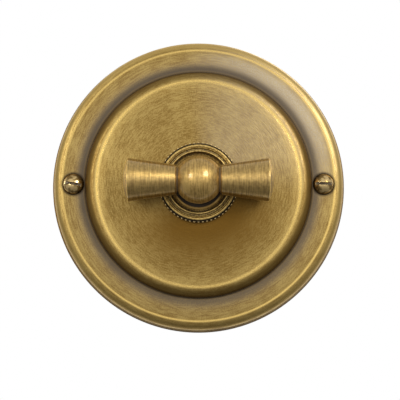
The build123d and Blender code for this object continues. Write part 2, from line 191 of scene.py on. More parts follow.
# %% Outline of the cover plate
SHEET = 1.2
RIM_ROUND = 2.6
FOOT_LIP = 0.8
FOOT_THICK = 1.2
FOOT_ROUND = 0.3
DISC_ROUND = 3.0
FLANGE_BAND = 10.0
FLANGE_RISE = 6.5
EDGE_BREAK = 0.15
PLATE_HOLE_R = 7.75
SCREW_HOLE_R = 1.95
BEND_STEPS = 14
ROUND_STEPS = 360

flange_y = -FLANGE_RISE
disc_foot_r = plate_r - FLANGE_BAND
disc_edge_r = disc_foot_r - DISC_ROUND
wall_r = plate_r - FOOT_LIP
flange_edge_r = wall_r - RIM_ROUND


def plate_outline():
    rim_centre = (flange_edge_r, flange_y + RIM_ROUND)
    disc_centre = (disc_edge_r, disc_y + DISC_ROUND)
    front = [(PLATE_HOLE_R, disc_y)]
    front += arc(disc_centre, DISC_ROUND, 270, 360, BEND_STEPS)
    front += [(disc_foot_r, flange_y)]
    front += arc(rim_centre, RIM_ROUND, 270, 360, BEND_STEPS)
    front += [(wall_r, -FOOT_THICK - EDGE_BREAK), (wall_r + EDGE_BREAK, -FOOT_THICK)]
    front += arc((plate_r - FOOT_ROUND, FOOT_ROUND - FOOT_THICK), FOOT_ROUND, 270, 360, 4)
    front += [(plate_r, -EDGE_BREAK), (plate_r - EDGE_BREAK, 0)]
    back = [(wall_r - SHEET, 0)]
    back += arc(rim_centre, RIM_ROUND - SHEET, 360, 270, BEND_STEPS)
    back += [(disc_foot_r - SHEET, flange_y + SHEET)]
    back += arc(disc_centre, DISC_ROUND - SHEET, 360, 270, BEND_STEPS)
    back += [(PLATE_HOLE_R, disc_y + SHEET)]
    return front + back


print("plate outline:", len(plate_outline()), "points")

# %% Turn and drill the cover plate
def round_bar(radius, start, end, steps=48):
    """A round bar on the spindle's axis, used as a cutter or to add a neck."""
    return turn("bar", [(0, start), (radius, start), (radius, end), (0, end)], steps)


plate = turn("cover_plate_fine", plate_outline(), ROUND_STEPS)
for side in (-1, 1):
    drill = round_bar(SCREW_HOLE_R, flange_y - SHEET, flange_y + 2 * SHEET)
    drill.location.x = side * screw_place * MM
    carve(plate, drill)
stand_for(plate, "cover_plate", "housing")

# %% [markdown]
# ## The ring nut
# The nut carries the richest turning: from the thread outwards a dished mouth, a narrow
# bright ridge, a dark line, a half-round bead, a groove and a knurled edge. A bump pattern
# could shade the knurl, but its teeth also show in the nut's outline, so they are real
# geometry. The outline is turned as usual, but outside the knurl's root the radius waves in
# and out once for every tooth, so each tooth ends in a small drop on the bevel.

# %% Outline of the ring nut
thread_r = 7.6
ridge_in_r = 8.6
ridge_out_r = 9.05
bead_in_r = 9.65
bead_line_r = 10.02
bead_out_r = 10.75
knurl_root_r = 10.98
LIP_HEIGHT = 1.3
RIDGE_HEIGHT = 2.5
VALLEY_HEIGHT = 1.75
BEAD_HEIGHT = 1.95
MOAT_HEIGHT = 0.9
KNURL_HEIGHT = 1.6
KNURL_BEVEL = 0.16


def up(height):
    """A height above the raised disc, as a place along the spindle."""
    return disc_y - height


def half_round(inner, outer, height, crown, steps):
    """A rounded top between two radii, as a flat ellipse."""
    middle, half = (inner + outer) / 2, (outer - inner) / 2
    return [(middle - half * cos(pi * k / steps), up(height + crown * sin(pi * k / steps)))
            for k in range(steps + 1)]


def nut_outline():
    cove = ridge_in_r - thread_r - EDGE_BREAK
    rise = RIDGE_HEIGHT - LIP_HEIGHT - EDGE_BREAK
    points = [(thread_r, up(0)), (thread_r, up(LIP_HEIGHT - EDGE_BREAK / 2))]
    points += [(thread_r + EDGE_BREAK + cove * sin(radians(t)),
                up(LIP_HEIGHT + rise - rise * cos(radians(t)))) for t in range(0, 91, 10)]
    points += half_round(ridge_in_r, ridge_out_r, RIDGE_HEIGHT - EDGE_BREAK, EDGE_BREAK, 8)
    points += [(ridge_out_r + EDGE_BREAK, up(VALLEY_HEIGHT))]
    points += [(bead_in_r - EDGE_BREAK, up(VALLEY_HEIGHT))]
    points += half_round(bead_in_r, bead_line_r, BEAD_HEIGHT, EDGE_BREAK, 8)
    points += half_round(bead_line_r, bead_out_r, BEAD_HEIGHT, EDGE_BREAK, 12)[1:]
    points += [(bead_out_r, up(MOAT_HEIGHT)), (knurl_root_r - EDGE_BREAK, up(MOAT_HEIGHT))]
    points += [(knurl_root_r, up(KNURL_HEIGHT - EDGE_BREAK))]
    points += [(knurl_root_r + EDGE_BREAK, up(KNURL_HEIGHT))]
    bevel_start = nut_r - KNURL_BEVEL
    points += [(bevel_start + KNURL_BEVEL * sin(radians(t)),
                up(KNURL_HEIGHT - KNURL_BEVEL * (1 - cos(radians(t))))) for t in range(0, 91, 15)]
    points += [(nut_r, up(0))]
    return points


print("nut outline:", len(nut_outline()), "points")

# %% Turn and knurl the ring nut
NUT_TEETH = 58
STEPS_PER_TOOTH = 10


def knurl(radius, angle):
    """Outside the root the radius follows pointed teeth."""
    over = max(0.0, radius - knurl_root_r)
    turn_share = (angle * NUT_TEETH / (2 * pi)) % 1
    tooth = 1 - abs(2 * turn_share - 1)
    return radius - over * (1 - min(1.0, max(0.0, 1.5 * tooth - 0.25)))


nut = turn("ring_nut_fine", nut_outline(), NUT_TEETH * STEPS_PER_TOOTH, profile=knurl)
stand_for(nut, "ring_nut", "housing")

# %% [markdown]
# ## The handle
# The bow-tie handle is turned from one bar across the spindle: a ball, a V groove on each
# side, two flared arms and softly domed ends. A ball and two cones pushed together would
# need their joints smoothed, while one outline gives crisp grooves at once. Half of it is
# enough, and its mirror image follows it. The neck that carries the handle stands on the
# ball, so it is joined on, and the holes for the spindle and for the small locking screw are
# drilled after that.

# %% Outline of the handle
BALL_EDGE = 5.6
GROOVE_PLACE = 5.85
GROOVE_R = 3.2
ARM_START = 6.2
ARM_START_R = 4.1
ARM_END_R = 6.0
END_DOME = 1.3
END_BEVEL = 0.3
BALL_STEPS = 24
ARM_STEPS = 12
DOME_STEPS = 10


def handle_half_outline():
    """From the middle of the ball out to the tip of the dome, as (radius, place along the bar)."""
    edge = atan2(BALL_EDGE, sqrt(ball_r ** 2 - BALL_EDGE ** 2))
    points = [(ball_r * cos(edge * k / BALL_STEPS), ball_r * sin(edge * k / BALL_STEPS))
              for k in range(BALL_STEPS + 1)]
    points += [(GROOVE_R, GROOVE_PLACE), (ARM_START_R - EDGE_BREAK, ARM_START)]
    rim = handle_reach - END_DOME
    first, last = ARM_START + EDGE_BREAK, rim - END_BEVEL
    for k in range(ARM_STEPS + 1):
        along = first + (last - first) * k / ARM_STEPS
        share = (along - ARM_START) / (last - ARM_START)
        points.append((ARM_START_R + (ARM_END_R - ARM_START_R) * share, along))
    points += arc((ARM_END_R - END_BEVEL, rim - END_BEVEL), END_BEVEL, 0, 90, 5)[1:]
    dome_r = ARM_END_R - END_BEVEL
    sphere_r = (dome_r ** 2 + END_DOME ** 2) / (2 * END_DOME)
    half = atan2(dome_r, sphere_r - END_DOME)
    for k in range(1, DOME_STEPS + 1):
        slope = half * (1 - k / DOME_STEPS)
        points.append((sphere_r * sin(slope), handle_reach - sphere_r * (1 - cos(slope))))
    return points


right = handle_half_outline()
left = [(radius, -along) for radius, along in reversed(right)]
print("half of the handle's outline:", len(right), "points")

# %% Turn and drill the handle
NECK_R = 4.4
SPINDLE_R = 3.0
SPINDLE_IN_BALL = 2.4
GRUB_R = 1.5
neck_back_y = high("handle").y
grub_y = (low("grub_screw").y + high("grub_screw").y) / 2


def on_bar(radius, along, angle):
    """Round the handle's own long axis, which crosses the spindle in front."""
    return Vector((along, handle_y + radius * cos(angle), radius * sin(angle))) * MM


handle = turn("handle_fine", left[:-1] + right, 160, place=on_bar)
carve(handle, round_bar(NECK_R, handle_y, neck_back_y, 96), "UNION")
carve(handle, round_bar(SPINDLE_R, handle_y - SPINDLE_IN_BALL, neck_back_y + SHEET, 64))
drill = turn("drill", [(0, 0), (GRUB_R, 0), (GRUB_R, 2 * ball_r), (0, 2 * ball_r)], 48)
drill.rotation_euler.x = radians(90)
drill.location.y = grub_y * MM
bpy.context.view_layer.update()
carve(handle, drill)
stand_for(handle, "handle", "rotor")

# %% [markdown]
# ## The wall screws
# Two round-head brass wood screws hold the plate. A head is part of a ball with a sawn slot,
# and each slot stands at its own small angle, as a hand leaves it. Bump could fake the
# thread, but the screws stand free behind the plate and show their outline. So the thread
# is a thin three-cornered ridge wound round a tapered core, which gives the sharp crest and
# the wide flat valley of a wood screw. Its crest never leaves the CAD shank.

# %% Turn a wall screw
HEAD_R = 3.05
HEAD_HEIGHT = 2.1
HEAD_STEPS = 20
SCREW_NECK_R = 1.75
SCREW_NECK = 1.8
SHANK_R = 1.5
SHANK_EASE = 0.05
CORE_R = 1.0
PLAIN_SHANK = 7.5
TAPER_START = 20.5
SCREW_LENGTH = 25.0


def screw_body():
    sphere_r = (HEAD_R ** 2 + HEAD_HEIGHT ** 2) / (2 * HEAD_HEIGHT)
    half = atan2(HEAD_R, sphere_r - HEAD_HEIGHT)
    dome = [(sphere_r * sin(half * k / HEAD_STEPS),
             sphere_r * (1 - cos(half * k / HEAD_STEPS)) - HEAD_HEIGHT) for k in range(HEAD_STEPS)]
    outline = dome + [(HEAD_R, -EDGE_BREAK), (HEAD_R - EDGE_BREAK / 2, 0), (SCREW_NECK_R, 0),
                      (SCREW_NECK_R, SCREW_NECK), (SHANK_R - SHANK_EASE, SCREW_NECK + EDGE_BREAK),
                      (SHANK_R - SHANK_EASE, PLAIN_SHANK), (CORE_R, PLAIN_SHANK + 1),
                      (CORE_R, TAPER_START), (0, SCREW_LENGTH)]
    return turn("wall_screw", outline, 96)


print("wall screw: head radius %.2f, length %.1f under the head" % (HEAD_R, SCREW_LENGTH))

# %% Wind its thread
THREAD_PITCH = 1.35
THREAD_HALF = 0.28


def screw_thread():
    """The ridge, as one closed strip from the plain shank to near the point."""
    builder = bmesh.new()
    steps = 36
    count = ceil((SCREW_LENGTH - 1 - PLAIN_SHANK) / THREAD_PITCH * steps)
    rows = []
    for k in range(count + 1):
        angle = 2 * pi * k / steps
        along = PLAIN_SHANK + THREAD_PITCH * k / steps
        taper = min(1.0, (SCREW_LENGTH - along) / (SCREW_LENGTH - TAPER_START))
        crest = SHANK_R * taper
        foot = CORE_R * taper * 0.9
        rows.append([builder.verts.new(on_spindle(radius, place, angle)) for radius, place in
                     ((foot, along - THREAD_HALF), (crest, along), (foot, along + THREAD_HALF))])
    for one, two in zip(rows, rows[1:]):
        for k in range(3):
            builder.faces.new((one[k], one[(k + 1) % 3], two[(k + 1) % 3], two[k]))
    builder.faces.new(rows[0])
    builder.faces.new(rows[-1])
    return finish_mesh("thread", builder)


print("thread of pitch %.2f" % THREAD_PITCH)

# %% Slot both screws and set them
SLOT_WIDTH = 0.8
SLOT_DEPTH = 1.1
SLOT_EDGE = 0.07
SLOT_TILTS = {-1: 9.0, 1: 1.5}


def block(name, size, middle):
    """A plain cutter, never left in the scene."""
    builder = bmesh.new()
    bmesh.ops.create_cube(builder, size=1)
    for vert in builder.verts:
        vert.co = Vector([(vert.co[k] * size[k] + middle[k]) * MM for k in range(3)])
    return finish_mesh(name, builder)


def join(pieces, name):
    with bpy.context.temp_override(active_object=pieces[0], selected_editable_objects=pieces):
        bpy.ops.object.join()
    pieces[0].name = name
    return pieces[0]


screws = []
for side, tilt in SLOT_TILTS.items():
    screw = screw_body()
    saw = block("saw", (4 * HEAD_R, 2 * SLOT_DEPTH, SLOT_WIDTH), (0, -HEAD_HEIGHT, 0))
    carve(screw, saw)
    edge = screw.modifiers.new("edge", "BEVEL")
    edge.width, edge.segments, edge.limit_method = SLOT_EDGE * MM, 2, "ANGLE"
    with bpy.context.temp_override(object=screw, active_object=screw):
        bpy.ops.object.modifier_apply(modifier=edge.name)
    screw = join([screw, screw_thread()], "wall_screw")
    screw.rotation_euler.y = radians(tilt)
    screw.location = Vector((side * screw_place, flange_y, 0)) * MM
    screws.append(screw)
for screw in screws:
    screw.data.transform(screw.matrix_basis)
    screw.matrix_basis.identity()
screws = join(screws, "plate_screws_fine")
shade(screws)
stand_for(screws, "plate_screws", "housing")

# %% [markdown]
# ## A little algebra for shaders
# A material is a net of nodes, and most of its maths is plain sums on numbers that change
# over the surface. One small class wraps an output socket, so that a sum in Python adds the
# Math nodes. Everything else comes from one method: a node's type, its settings, then the
# values or links of its sockets. A finish ends in one Principled shader. Places inside it
# are in millimetres on the finished object, so a mask can use the same sizes as the mesh.

# %% Signals, which work in sums
class Signal:
    """One output socket of a shader node, made to work in sums."""

    def __init__(self, net, socket):
        self.net, self.socket = net, socket

    def maths(self, operation, *terms):
        return self.net.node("Math", {"operation": operation}, dict(enumerate(terms)))

    def __add__(self, other):
        return self.maths("ADD", self, other)

    def __sub__(self, other):
        return self.maths("SUBTRACT", self, other)

    def __rsub__(self, other):
        return self.maths("SUBTRACT", other, self)

    def __mul__(self, other):
        return self.maths("MULTIPLY", self, other)

    def __truediv__(self, other):
        return self.maths("DIVIDE", self, other)

    def __pow__(self, other):
        return self.maths("POWER", self, other)

    def __abs__(self):
        return self.maths("ABSOLUTE", self)

    def over(self, other):
        """The larger of two signals."""
        return self.maths("MAXIMUM", self, other)

    def rise(self, start, end):
        """Goes softly from 0 to 1 between two values."""
        return self.net.node("MapRange", {"interpolation_type": "SMOOTHSTEP"},
                             {"Value": self, "From Min": start, "From Max": end})

    def ring(self, centre, half_width):
        """1 at a value and softly down to 0 on both sides of it."""
        return 1 - abs(self - centre).rise(0, half_width)

    __radd__, __rmul__ = __add__, __mul__


print("signals can add, subtract, multiply, divide, rise and ring")

# %% Nets of nodes
class Net:
    """A node tree that is being filled."""

    def __init__(self, tree):
        self.tree = tree
        tree.nodes.clear()

    def node(self, kind, settings=None, sockets=None, output=0):
        """Adds a node: its settings first, then the values or links of its sockets."""
        made = self.tree.nodes.new("ShaderNode" + kind)
        for name, value in (settings or {}).items():
            setattr(made, name, value)
        for name, value in (sockets or {}).items():
            if isinstance(value, Signal):
                self.tree.links.new(value.socket, made.inputs[name])
            else:
                made.inputs[name].default_value = value
        return Signal(self, made.outputs[output]) if made.outputs else None

    def mix(self, share, first, second):
        """Goes from one colour to another."""
        colours = [value if isinstance(value, Signal) else (*value, 1) for value in (first, second)]
        return self.node("Mix", {"data_type": "RGBA"}, {0: share, 6: colours[0], 7: colours[1]}, 2)


print("nets can add nodes and mix colours")

# %% Finishes
class Finish(Net):
    """A material that ends in one Principled shader."""

    def __init__(self, name):
        self.material = bpy.data.materials.new(name)
        self.material.use_nodes = True
        super().__init__(self.material.node_tree)
        place = self.node("TexCoord", output=3)
        self.place = self.node("VectorMath", {"operation": "SCALE"}, {0: place, "Scale": 1 / MM})
        self.x, self.y, self.z = [self.node("SeparateXYZ", sockets={0: self.place}, output=k)
                                  for k in range(3)]

    def vector(self, x, y, z):
        return self.node("CombineXYZ", sockets={0: x, 1: y, 2: z})

    def noise(self, size, where=None, detail=2.0, roughness=0.5):
        """Cloudy noise, about 0 to 1, with patches of about that size in millimetres."""
        spot = self.place if where is None else where
        cloud = self.node("TexNoise", sockets={"Vector": spot, "Scale": 1 / size, "Detail": detail,
                                               "Roughness": roughness})
        return cloud.rise(0.3, 0.7)

    def bump(self, height, depth):
        """Normals for a relief whose height goes from 0 to 1, with its depth in millimetres."""
        return self.node("Bump", sockets={"Height": height, "Distance": depth * MM, "Strength": 1.0})

    def shader(self, **sockets):
        """Closes the finish: socket names with underscores for spaces."""
        named = {name.replace("_", " "): value for name, value in sockets.items()}
        surface = self.node("BsdfPrincipled", sockets=named)
        self.node("OutputMaterial", sockets={"Surface": surface})
        print(self.material.name, "finish has", len(self.tree.nodes), "nodes")
        return self.material


print("finishes can make noise and bump")

# %% [markdown]
# ## Aged brass on the plate
# The plate was browned with acid, then rubbed back by hand. So it is golden where the cloth
# bit, on the shoulders of the rim and of the raised disc. On the disc's edge that gold is also
# a painted highlight, brightest at the sides where the lamps gleam, and the rim's wall is
# painted lighter, most at the top: painted light from above. Below the nut the brass is
# painted umber, as painted shade of the handle. A dark ring of painted shade and a grey bloom
# lie round the foot of the disc, the slope of the disc is painted brown as painted shade, the
# lip is painted browner at the top than at the bottom, and a pale painted sheen lies on the
# upper right. The corners at the disc's foot, at the nut's foot and round the screw heads are
# dark, partly grime and partly painted shade. In between, it is mottled, with faint lines
# round the centre. A picture on the metal could show all that, but nearly all of it is a
# matter of the distance from the spindle and of the way round it, plus noise. So the finish
# measures both and sums masks of them.

# %% Colours of old brass, and what round pieces share
# The brightest brass, for rubbed wear and also for painted highlight and painted light.
BRASS_RUBBED_AND_LIT = (0.93, 0.645, 0.205)
BRASS_AGED = (0.43, 0.30, 0.097)
BRASS_BROWN = (0.22, 0.13, 0.032)
# Umber, for the painted shade below the nut and on the top of the lip.
BRASS_UMBER = (0.155, 0.08, 0.014)
BLOOM_GREY = (0.20, 0.15, 0.10)
# A dark grey for the painted shade round the foot of the disc.
FOOT_SHADE_DARK = (0.075, 0.06, 0.046)
# A pale grey for a painted sheen, the lamps' reflection on the upper right.
SHEEN_GREY = (0.44, 0.37, 0.265)
# The darkest colour, partly grime and partly painted shade, for corners, slots and the bush's mouth.
GRIME_AND_SHADE = (0.035, 0.024, 0.014)


class Turned(Finish):
    """A finish of a round piece on the spindle: it knows its radius and its way round."""

    def __init__(self, name):
        super().__init__(name)
        self.radius = (self.x * self.x + self.z * self.z) ** 0.5
        safe = self.radius.over(0.001)
        self.east, self.north = self.x / safe, self.z / safe

    def lines_round(self, spacing, waviness):
        """Fine lines round the spindle, with no seam."""
        return self.noise(1, self.vector(self.radius / spacing, self.east * waviness,
                                         self.north * waviness), detail=3)


def paint(piece, material):
    """Gives every face the material: a new piece gets a slot, a CAD node keeps its own slots."""
    if not piece.material_slots:
        piece.data.materials.append(material)
    for slot in piece.material_slots:
        slot.material = material


print("brass goes from", BRASS_RUBBED_AND_LIT, "where it is rubbed to", GRIME_AND_SHADE, "in dirty corners")

# %% The plate's brass
def plate_brass():
    skin = Turned("plate brass")
    cloud = skin.noise(7, detail=4, roughness=0.6)
    fleck = skin.noise(0.36, detail=2, roughness=0.6)
    wiped = skin.lines_round(0.36, 12)
    turned = skin.lines_round(0.12, 3) * (1 - skin.radius.rise(disc_edge_r - 1, disc_edge_r))
    front = 1 - skin.y.rise(-1.8, -1.3)
    rim_gold = skin.radius.ring(flange_edge_r, 0.5)
    # At the sides this reads more than the radius, so the gold edge and the painted shade on the slope
    # move inwards there.
    rubbed = skin.radius + abs(skin.east) * 0.5
    disc_wear_and_gleam = rubbed.ring(disc_edge_r, 0.85) + rubbed.ring(disc_edge_r - 1, 2.2) * 0.22
    worn = rim_gold + disc_wear_and_gleam
    shade = rubbed.rise(disc_edge_r + 0.3, disc_foot_r - 0.8) * (
        1 - skin.radius.rise(disc_foot_r, disc_foot_r + 0.8))
    rim_wall = skin.radius.rise(flange_edge_r + 0.4, flange_edge_r + 1.2) * front
    flange = skin.radius.rise(disc_foot_r + 0.5, disc_foot_r + 2) * (
        1 - skin.radius.rise(flange_edge_r - 2, flange_edge_r))
    corner = skin.radius.ring(disc_foot_r + 0.05, 0.6) * skin.y.rise(disc_y + 1.9, disc_y + 3.1)
    bloom = (1 - skin.radius.rise(disc_foot_r + 0.6, disc_foot_r + 4.5)) * skin.radius.rise(
        disc_foot_r - 0.6, disc_foot_r)
    lip = skin.radius.rise(wall_r + 0.1, wall_r + 0.4)
    ageing = cloud * 0.25 + fleck * 0.35 + (1 - wiped) * 0.4
    # The lower side of the plate; the masks below use it to paint shade and light by side.
    below = (skin.east * 0.25 - skin.north).rise(-0.2, 0.9)
    # Below the nut the brass is painted umber: painted shade of the handle.
    shade_below_nut = (1 - skin.radius.rise(nut_r + 2, disc_edge_r + 2)) * (0.1 + below * 0.9)
    # A dark ring round the disc's foot is painted shade in that corner, a little weaker below.
    foot_shade = skin.radius.ring(disc_foot_r + 1.0, 2.0) * (0.75 - below * 0.35)
    out = abs(skin.x) - screw_place
    screw_foot = (1 - ((out * out + skin.z * skin.z) ** 0.5).rise(HEAD_R, HEAD_R + 0.8)) * front
    nut_foot = skin.radius.rise(knurl_root_r - 0.4, knurl_root_r) * (
        1 - skin.radius.rise(nut_r - 0.2, nut_r + 0.2))
    colour = skin.mix(ageing.rise(0.05, 0.95), BRASS_AGED, BRASS_BROWN)
    colour = skin.mix(shade_below_nut, colour, BRASS_UMBER)
    # A pale painted sheen on the upper right, where the lamps' reflection lies.
    upper_right = (skin.east + skin.north).rise(0.8, 1.45) * front
    painted_sheen = (flange * (0.05 + upper_right * 0.4) + upper_right * 0.3) * (0.6 + fleck * 0.8)
    colour = skin.mix(painted_sheen, colour, SHEEN_GREY)
    colour = skin.mix(bloom * (0.6 + fleck * 0.35), colour, BLOOM_GREY)
    colour = skin.mix(foot_shade, colour, FOOT_SHADE_DARK)
    # The rim's wall is painted lighter, more at the top: painted light from above.
    colour = skin.mix(rim_wall * (0.32 + skin.north * 0.15), colour, BRASS_RUBBED_AND_LIT)
    colour = skin.mix(shade * (0.6 + abs(skin.east) * 0.45 - wiped * 0.2), colour, BRASS_BROWN)
    rim_share = rim_gold * (0.8 + below * 0.2 - fleck * 0.3)
    # The disc's gold edge is partly rubbed wear and partly a painted highlight, weaker at the top and
    # bottom than at the sides where the lamps gleam.
    disc_share = disc_wear_and_gleam * (0.98 - fleck * 0.3 - below.over(skin.north.rise(0.4, 1)) * 0.3)
    colour = skin.mix(rim_share + disc_share, colour, BRASS_RUBBED_AND_LIT)
    # The lip is painted browner at the top and greyer at the bottom: painted shade by side.
    colour = skin.mix(lip * 0.8, colour, skin.mix(below, BRASS_UMBER, BLOOM_GREY))
    # Corners at the disc's foot, the nut's foot and the screw heads are darkened: partly grime, partly
    # painted shade.
    colour = skin.mix((corner * 0.85).over(nut_foot * 0.7).over(screw_foot * 0.85), colour, GRIME_AND_SHADE)
    rough = 0.38 + ageing * 0.12 - worn * 0.22 + corner * 0.2
    relief = fleck * 0.07 + wiped * 0.1 + turned * 0.4
    return skin.shader(Base_Color=colour, Metallic=1.0 - corner * 0.5, Roughness=rough,
                       Normal=skin.bump(relief, 0.03))


paint(plate, plate_brass())

# %% [markdown]
# ## Darker brass on the nut
# The nut is the same brass, but its grooves hold dirt. Dirt could be guessed from how deep a
# place lies, but here the turned rings are known, so the masks use their radii: the ridge,
# the bead and the tips of the knurl are painted bright, partly as rubbed wear and partly as
# painted highlight, while the dish, the valley and the root of the knurl are dark. Noise
# breaks every ring up, as neither dirt nor rubbing is even.

# %% The nut's brass
NUT_RUBBED_AND_LIT = (0.76, 0.53, 0.19)
NUT_TIP = (0.84, 0.63, 0.29)
NUT_DIRT = (0.06, 0.042, 0.025)


def nut_brass():
    skin = Turned("nut brass")
    fleck = skin.noise(0.5, detail=4, roughness=0.65)
    dish = skin.radius.ring(ridge_in_r - 0.35, 0.5) * (0.15 + fleck.rise(0.25, 0.75) * 0.75)
    valley = skin.radius.ring((ridge_out_r + bead_in_r) / 2, 0.4) * (0.2 + fleck * 0.6)
    # The knurl's tips are painted bright: partly rubbed wear, partly painted highlight.
    tip = skin.radius.rise(nut_r - 0.26, nut_r - 0.16)
    root = skin.radius.rise(bead_out_r - 0.1, bead_out_r + 0.05) * (1 - tip)
    dirt = dish.over(valley).over(root)
    # The ridge and the bead are painted bright: partly rubbed wear, partly painted highlight.
    rubbed = skin.radius.ring((ridge_in_r + ridge_out_r) / 2, 0.34).over(
        skin.radius.ring((bead_line_r + bead_out_r) / 2, 0.6) * 0.55) * (1 - fleck * 0.75)
    colour = skin.mix(fleck.rise(0.2, 0.9), BRASS_AGED, BRASS_BROWN)
    colour = skin.mix(rubbed, colour, NUT_RUBBED_AND_LIT)
    colour = skin.mix(dirt, colour, NUT_DIRT)
    colour = skin.mix(tip, colour, NUT_TIP)
    return skin.shader(Base_Color=colour, Metallic=1.0 - dirt * 0.5,
                       Roughness=0.44 + dirt * 0.2, Normal=skin.bump(fleck, 0.006))


paint(nut, nut_brass())

# %% [markdown]
# ## Brushed brass on the handle
# The handle was polished on the lathe with a fine emery cloth, so its scratches run round
# the long axis and show as lines across the arms. Anisotropic gloss alone would stretch the
# highlight without any lines. So they come from noise that changes fast along the bar and
# slowly round it. A coat like thin lacquer adds a whiter gleam on top, and the ball under it
# is duller. The V grooves, the neck towards the plate and the domed ends are painted
# grey-brown: painted shade in the grooves and at the neck, and a painted dark reflection on
# the domed ends. Fingers rubbed the end rims.

# %% The handle's brass
HANDLE_BRASS = (0.66, 0.435, 0.13)
HANDLE_BROWN = (0.36, 0.22, 0.06)
# A grey-brown for the painted shade in the grooves and at the neck, and the painted dark reflection on
# the ends.
GROOVE_GREY = (0.26, 0.20, 0.14)


def handle_brass():
    skin = Finish("handle brass")
    across = skin.y - handle_y
    bar_r = (across * across + skin.z * skin.z) ** 0.5
    place = abs(skin.x)
    brushed = skin.noise(1, skin.vector(skin.x / 0.06, across * 0.12, skin.z * 0.12), detail=2)
    streak = skin.noise(1, skin.vector(skin.x / 0.3, across * 0.25, skin.z * 0.25), detail=3)
    fleck = skin.noise(0.8, detail=3)
    groove = place.ring(GROOVE_PLACE, 0.45) * (1 - bar_r.rise(ARM_START_R - 0.5, ARM_START_R))
    end = place.rise(handle_reach - END_DOME - 0.05, handle_reach - END_DOME + 0.2)
    rim = place.ring(handle_reach - END_DOME - 0.15, 0.3)
    neck = across.rise(ball_r * 0.8, ball_r)
    ball = 1 - place.rise(GROOVE_PLACE - 0.6, GROOVE_PLACE)
    ageing = streak * 0.65 + fleck * 0.35
    colour = skin.mix(ageing.rise(0.1, 0.95), HANDLE_BRASS, HANDLE_BROWN)
    colour = skin.mix(rim * 0.8, colour, BRASS_RUBBED_AND_LIT)
    # Grooves, domed ends and neck are painted grey: painted shade and a painted dark reflection.
    colour = skin.mix((end * 0.85).over(groove * 0.9).over(neck * 0.7), colour, GROOVE_GREY)
    return skin.shader(Base_Color=colour, Metallic=1.0 - groove * 0.6,
                       Roughness=0.29 + streak * 0.08 + end * 0.1 + ball * 0.14,
                       Coat_Weight=0.9 - ball * 0.2, Coat_Roughness=0.15,
                       Normal=skin.bump(brushed, 0.0045))


paint(handle, handle_brass())

# %% [markdown]
# ## The screws' brass
# Screw heads are polished brass that has gone dull in spots. The slot and a line where the
# head sits on the plate are painted dark, partly dirt and partly painted shade. The height
# above the flange and the distance from the head's middle tell those places apart, and behind
# the flange nothing dark is added.

# %% The screws' brass
SCREW_BRIGHT = (0.86, 0.62, 0.28)


def screw_brass():
    skin = Finish("screw brass")
    fleck = skin.noise(1.4, detail=3)
    out = abs(skin.x) - screw_place
    from_axis = (out * out + skin.z * skin.z) ** 0.5
    height = flange_y - skin.y
    seat = 1 - height.rise(0.15, 0.75)
    in_slot = (1 - height.rise(HEAD_HEIGHT - SLOT_DEPTH + 0.02, HEAD_HEIGHT - SLOT_DEPTH + 0.3)) * (
        1 - from_axis.rise(HEAD_R - 0.9, HEAD_R - 0.5)) * height.rise(0.1, 0.2)
    in_front = height.rise(-2, -1)
    colour = skin.mix(fleck.rise(0.35, 0.9) * 0.9, SCREW_BRIGHT, BRASS_BROWN)
    # The slot's floor and the seat are darkened: partly dirt, partly painted shade.
    colour = skin.mix(in_slot * 0.9 * in_front, colour, GRIME_AND_SHADE)
    colour = skin.mix(seat * 0.95 * in_front, colour, GRIME_AND_SHADE)
    return skin.shader(Base_Color=colour, Metallic=1.0 - in_slot * 0.5,
                       Roughness=0.17 + fleck * 0.12, Normal=skin.bump(fleck, 0.03))


paint(screws, screw_brass())

# %% [markdown]
# ## Finishes of the works
# Behind the plate nothing was rubbed or browned: the metals there are clean brass, bronze
# and steel, with tool marks and a little tarnish. They differ only in colour, gloss and how
# fine the marks are, so one function makes them all.

# %% Metals of the works
def worked_metal(name, colour, dull, roughness, mark):
    """Metal with drawn or turned tool marks and patches that have gone dull."""
    skin = Turned(name)
    patch = skin.noise(3, detail=4, roughness=0.6)
    marks = skin.lines_round(mark, 2)
    tint = skin.mix(patch.rise(0.35, 1) * 0.8, colour, dull)
    return skin.shader(Base_Color=tint, Metallic=1.0, Normal=skin.bump(marks, 0.003),
                       Roughness=roughness + patch * 0.1 + marks * 0.06)


PLAIN_BRASS = (0.78, 0.58, 0.28)
works = {
    "plain_brass": worked_metal("plain brass", PLAIN_BRASS, (0.50, 0.33, 0.13), 0.26, 0.12),
    "spring_bronze": worked_metal("spring bronze", (0.72, 0.46, 0.25), (0.48, 0.26, 0.12), 0.24, 0.2),
    "steel": worked_metal("steel", (0.55, 0.54, 0.53), (0.36, 0.34, 0.32), 0.28, 0.1),
    "zinc_steel": worked_metal("zinc plate", (0.66, 0.66, 0.65), (0.50, 0.49, 0.46), 0.34, 0.25),
    "screw_steel": worked_metal("screw steel", (0.62, 0.62, 0.62), (0.42, 0.41, 0.39), 0.26, 0.1),
}

# %% [markdown]
# ### What keeps the current in
# The parts that touch live metal carry no current themselves: a glazed ceramic body, a dark
# moulded drum and a red fibre disc. Each takes one noise between two close colours, which
# is enough for things so small: clouds and a few specks under the glaze, a swirl in the
# moulding, drawn-out strands in the fibre. No other piece is moulded, so the drum is painted
# by its node, and the rest by the finish names in the record.

# %% Porcelain, moulding and fibre
def porcelain():
    skin = Finish("porcelain")
    cream = skin.noise(6, detail=4)
    speck = skin.noise(0.5, detail=1).rise(0.93, 1)
    colour = skin.mix(cream * 0.6, (0.80, 0.78, 0.72), (0.74, 0.70, 0.61))
    colour = skin.mix(speck * 0.5, colour, (0.30, 0.24, 0.18))
    return skin.shader(Base_Color=colour, Roughness=0.14 + cream * 0.08, Coat_Weight=0.4,
                       Coat_Roughness=0.08, Normal=skin.bump(cream, 0.05))


